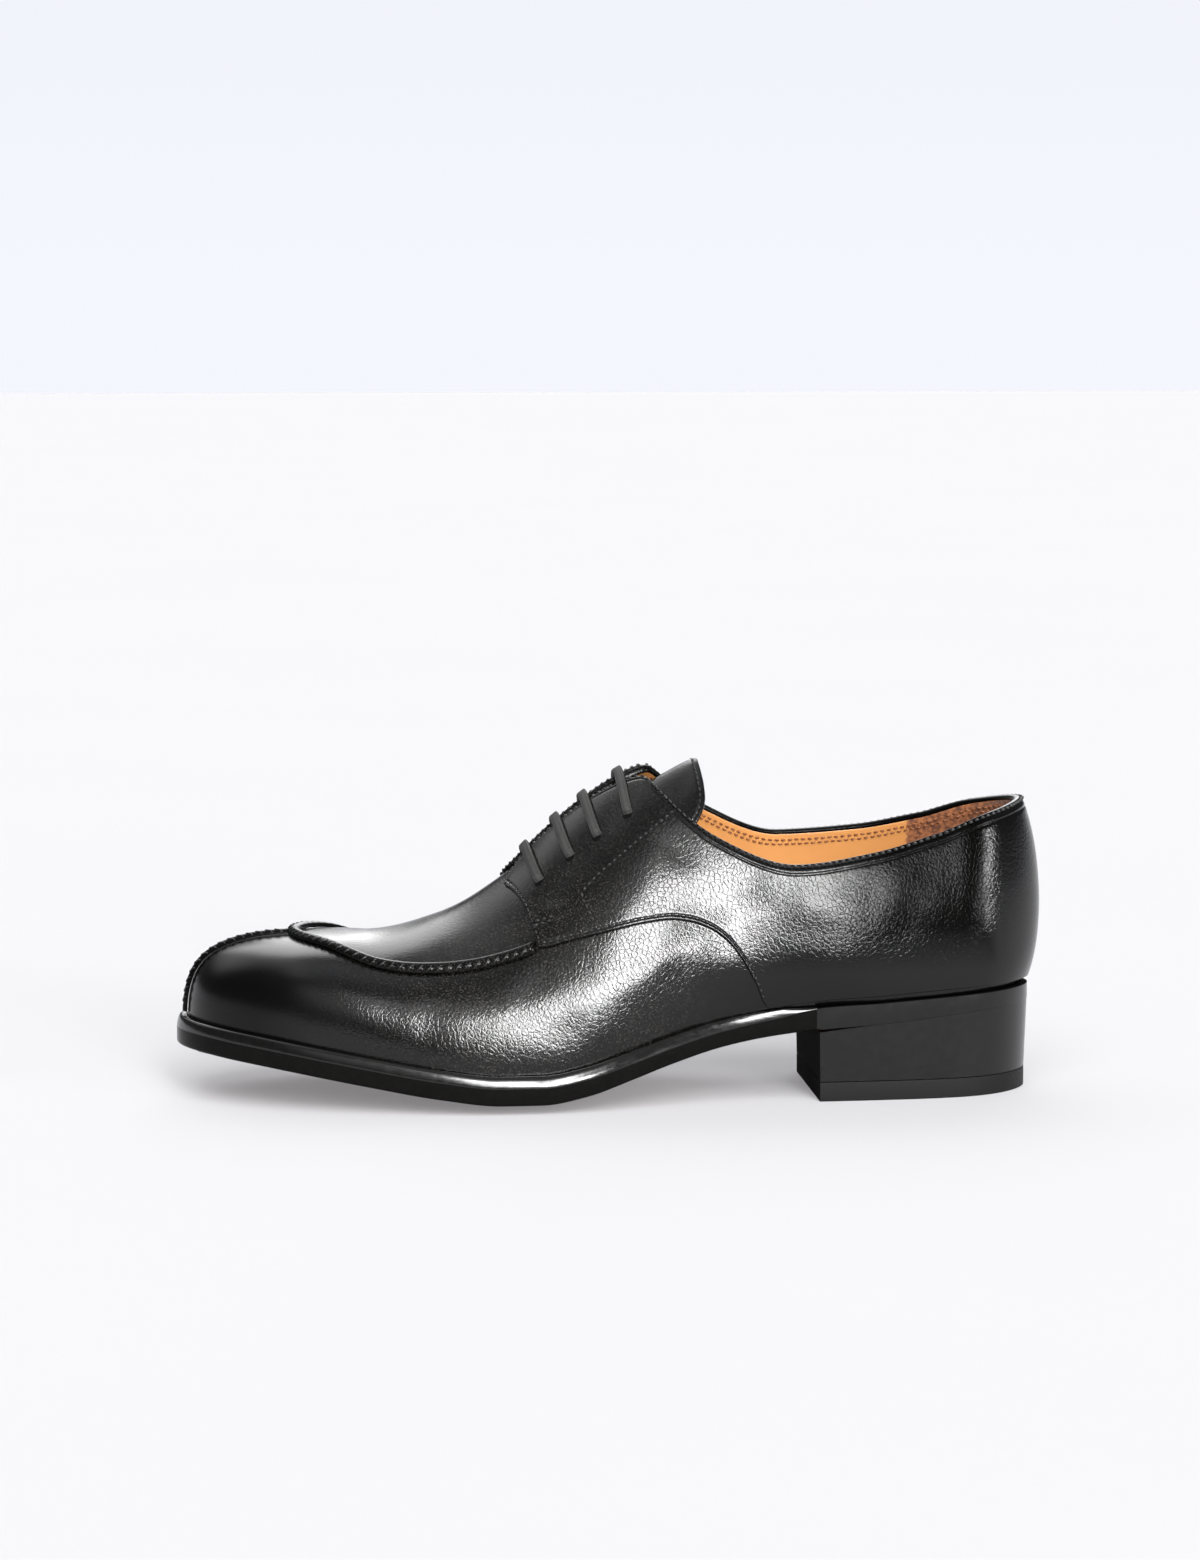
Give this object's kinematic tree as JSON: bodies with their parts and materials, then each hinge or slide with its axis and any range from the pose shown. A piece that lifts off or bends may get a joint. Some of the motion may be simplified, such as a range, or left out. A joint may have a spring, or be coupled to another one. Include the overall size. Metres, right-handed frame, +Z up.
{
  "type": "apron toe derby shoe",
  "caption": "Left lace-up derby shoe with a raised apron seam, open-laced quarters, welted sole and stacked block heel, hollow inside for a foot.",
  "frame": {"origin": "middle of the bounding box seen from above, on the floor the sole stands on", "axes": "+X from toe to heel, +Y towards the inner side of the foot, +Z up"},
  "size_m": [0.3032, 0.1056, 0.1167],
  "materials": {
    "black_calf": "glossy fine-grained black",
    "sole_leather": "black waxed edge",
    "heel_leather": "black waxed edge",
    "heel_rubber": "satin black",
    "tan_lining": "smooth tan",
    "waxed_lace": "flat woven, waxed"
  },
  "bodies": {
    "root": {"upper": "black_calf", "quarter_lateral": "black_calf", "quarter_medial": "black_calf", "apron_seam": "black_calf", "toe_seam": "black_calf", "tongue": "black_calf", "lace_bar_1": "waxed_lace", "lace_bar_2": "waxed_lace", "lace_bar_3": "waxed_lace", "lace_bar_4": "waxed_lace", "insole": "tan_lining", "welt": "sole_leather", "outsole": "sole_leather", "heel_stack": "heel_leather", "heel_top_lift": "heel_rubber"}
  },
  "joints": []
}
